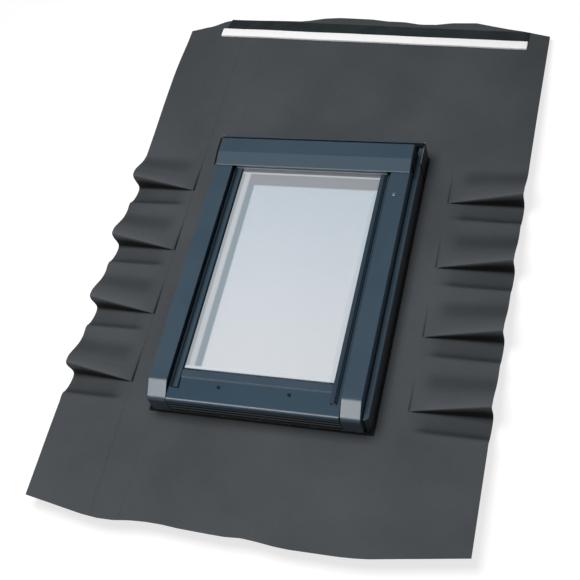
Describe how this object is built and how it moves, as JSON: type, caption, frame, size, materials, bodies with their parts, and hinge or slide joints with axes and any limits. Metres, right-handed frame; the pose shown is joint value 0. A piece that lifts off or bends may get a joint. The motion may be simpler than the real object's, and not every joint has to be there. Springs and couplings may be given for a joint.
{
  "type": "roof hatch",
  "caption": "Top-hung glazed roof hatch with white frame, slate-blue aluminium covers and hood, raised collar and a wide soft pleated flashing skirt with a foam strip on its top edge",
  "frame": {"origin": "centre of the four roof fixing holes, on the base plane of the frame", "axes": "+Y up the roof slope, +Z out of the roof along its normal, +X to the right seen from outside"},
  "size_m": [0.98, 1.4511, 0.1485],
  "materials": {
    "white_wood": "white satin lacquer on softwood",
    "slate_blue_aluminium": "satin slate-blue powder coat on folded aluminium sheet",
    "skirt_membrane": "matt dark grey flashing membrane with a fine embossed weave",
    "white_foam": "white closed-cell foam strip",
    "slate_tape": "dark slate butyl tape",
    "glass": "clear float glass",
    "spacer_bar": "light grey spacer bar",
    "black_rubber": "matt rubber",
    "zinc_steel": "zinc-plated steel",
    "dark_screw": "screw head lacquered to match the covers",
    "black_plastic": "moulded plastic",
    "handle_metal": "satin silver-grey lacquer",
    "stay_aluminium": "mill aluminium bar"
  },
  "bodies": {
    "frame": {"frame_stile_left": "white_wood", "frame_stile_right": "white_wood", "frame_rail_top": "white_wood", "frame_rail_bottom": "white_wood", "side_cover_left": "slate_blue_aluminium", "side_cover_right": "slate_blue_aluminium", "collar_side_left": "slate_blue_aluminium", "collar_side_right": "slate_blue_aluminium", "collar_back": "slate_blue_aluminium", "collar_front": "slate_blue_aluminium", "skirt_wing_left": "skirt_membrane", "skirt_wing_right": "skirt_membrane", "skirt_apron_top": "skirt_membrane", "skirt_apron_bottom": "skirt_membrane", "frame_seal": "black_rubber", "collar_gasket": "black_rubber", "hinge_leaf_frame_left": "zinc_steel", "hinge_leaf_frame_right": "zinc_steel", "hinge_pins": "zinc_steel", "hinge_screws_frame": "zinc_steel", "fixing_brackets": "zinc_steel", "bracket_screws": "zinc_steel", "latch_keeper": "zinc_steel", "stay_peg": "zinc_steel", "cover_screw": "zinc_steel", "cover_clips": "black_plastic", "foam_strip": "white_foam", "edge_tape": "slate_tape"},
    "sash": {"sash_stile_left": "white_wood", "sash_stile_right": "white_wood", "sash_rail_top": "white_wood", "sash_rail_bottom": "white_wood", "bedding_tape": "black_rubber", "pane_inner": "glass", "glass_spacer": "spacer_bar", "pane_outer": "glass", "glazing_rubbers": "black_rubber", "sash_strip_left": "slate_blue_aluminium", "sash_strip_right": "slate_blue_aluminium", "sash_nose": "slate_blue_aluminium", "nose_screws": "dark_screw", "hood": "slate_blue_aluminium", "hood_caps": "black_plastic", "hood_posts": "black_plastic", "hinge_leaf_sash_left": "zinc_steel", "hinge_leaf_sash_right": "zinc_steel", "hinge_screws_sash": "zinc_steel", "handle_plate": "handle_metal", "stay_pin": "zinc_steel"},
    "handle": {"handle_lever": "handle_metal", "latch_cam": "zinc_steel"},
    "stay": {"stay_bar": "stay_aluminium"}
  },
  "joints": [
    {"name": "sash_hinge", "type": "hinge", "parent": "frame", "child": "sash", "pos_m": [0, 0.336, 0.112], "axis": [-1, 0, 0], "range_deg": [0, 80]},
    {"name": "handle_turn", "type": "hinge", "parent": "sash", "child": "handle", "pos_m": [0, -0.29, 0.088], "axis": [0, -1, 0], "range_deg": [0, 90]},
    {"name": "stay_swing", "type": "hinge", "parent": "sash", "child": "stay", "pos_m": [0.1525, -0.23, 0.088], "axis": [-1, 0, 0], "range_deg": [0, 100]}
  ]
}
